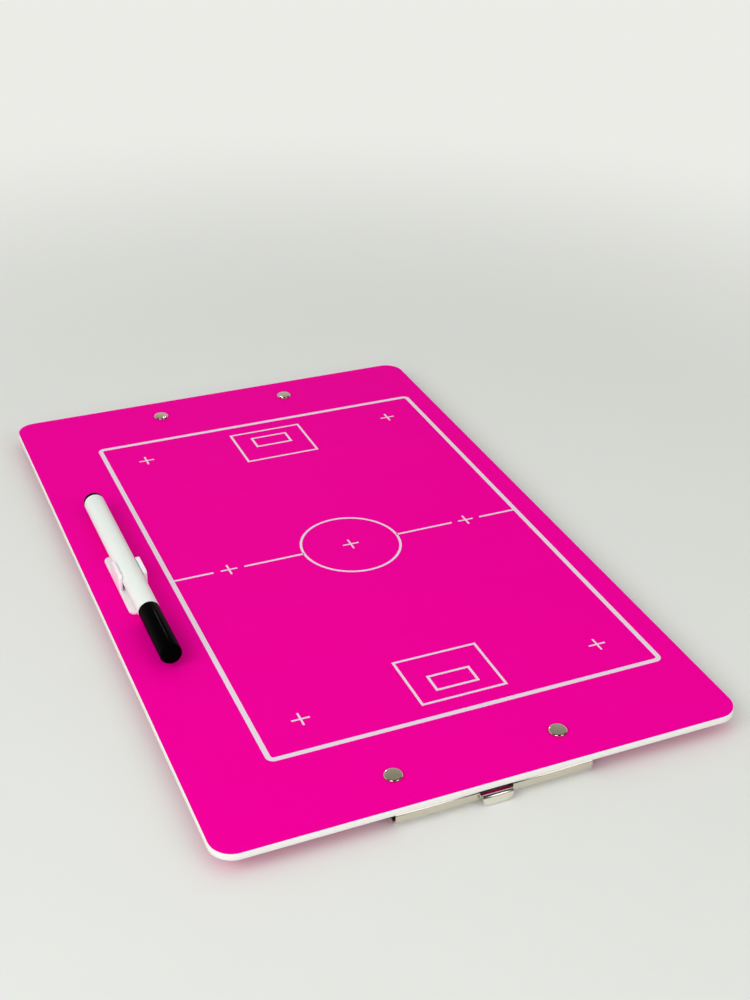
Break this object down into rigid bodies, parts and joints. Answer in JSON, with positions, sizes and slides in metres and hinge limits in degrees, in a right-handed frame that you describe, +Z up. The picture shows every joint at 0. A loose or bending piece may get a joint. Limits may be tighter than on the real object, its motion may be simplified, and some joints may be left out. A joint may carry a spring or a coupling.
{
  "type": "tactics board",
  "caption": "Rectangular coaching board with a printed court, a sprung paper clip under each end and a capped marker in a stick-on holder.",
  "frame": {"origin": "on the table under the middle of the board, at the height of the clips' undersides", "axes": "+Z up out of the printed face, +Y along the board's length away from the near end, +X to the right, away from the marker"},
  "size_m": [0.23, 0.364, 0.0219],
  "materials": {
    "white_panel": "satin cut edge",
    "pink_print": "smooth dry-erase print",
    "white_ink": "smooth dry-erase print",
    "rivet_nickel": "nickel plated",
    "clip_nickel": "nickel plated",
    "pin_steel": "drawn",
    "spring_steel": "drawn wire",
    "foam_tape": "foam",
    "holder_plastic": "translucent moulded",
    "barrel_plastic": "moulded",
    "cap_plastic": "gloss moulded",
    "neck_plastic": "moulded",
    "nib_fibre": "pressed fibre, inked",
    "reservoir_fibre": "bonded fibre, inked"
  },
  "bodies": {
    "board": {"core_panel": "white_panel", "front_print": "pink_print", "back_print": "pink_print", "court_markings": "white_ink", "rivets": "rivet_nickel", "near_clip_base": "clip_nickel", "near_hinge_pin": "pin_steel", "near_clip_spring": "spring_steel", "far_clip_base": "clip_nickel", "far_hinge_pin": "pin_steel", "far_clip_spring": "spring_steel", "holder_adhesive_pad": "foam_tape", "pen_holder": "holder_plastic"},
    "near_jaw": {"near_clip_jaw": "clip_nickel"},
    "far_jaw": {"far_clip_jaw": "clip_nickel"},
    "pen": {"pen_barrel": "barrel_plastic", "pen_end_plug": "cap_plastic", "pen_nib_holder": "neck_plastic", "pen_nib": "nib_fibre", "pen_ink_reservoir": "reservoir_fibre"},
    "cap": {"pen_cap": "cap_plastic"}
  },
  "joints": [
    {"name": "near_jaw_hinge", "type": "hinge", "parent": "board", "child": "near_jaw", "pos_m": [0, -0.173, 0.0033], "axis": [-1, 0, 0], "range_deg": [0, 10], "stiffness_Nm_per_rad": 0.4, "springref_deg": -34.38, "deforming": ["near_clip_spring"]},
    {"name": "far_jaw_hinge", "type": "hinge", "parent": "board", "child": "far_jaw", "pos_m": [0, 0.173, 0.0033], "axis": [1, 0, 0], "range_deg": [0, 10], "stiffness_Nm_per_rad": 0.4, "springref_deg": -34.38, "deforming": ["far_clip_spring"]},
    {"name": "pen_pull", "type": "slide", "parent": "board", "child": "pen", "axis": [0, -1, 0], "range_m": [0, 0.1]},
    {"name": "cap_pull", "type": "slide", "parent": "pen", "child": "cap", "axis": [0, -1, 0], "range_m": [0, 0.03]}
  ]
}
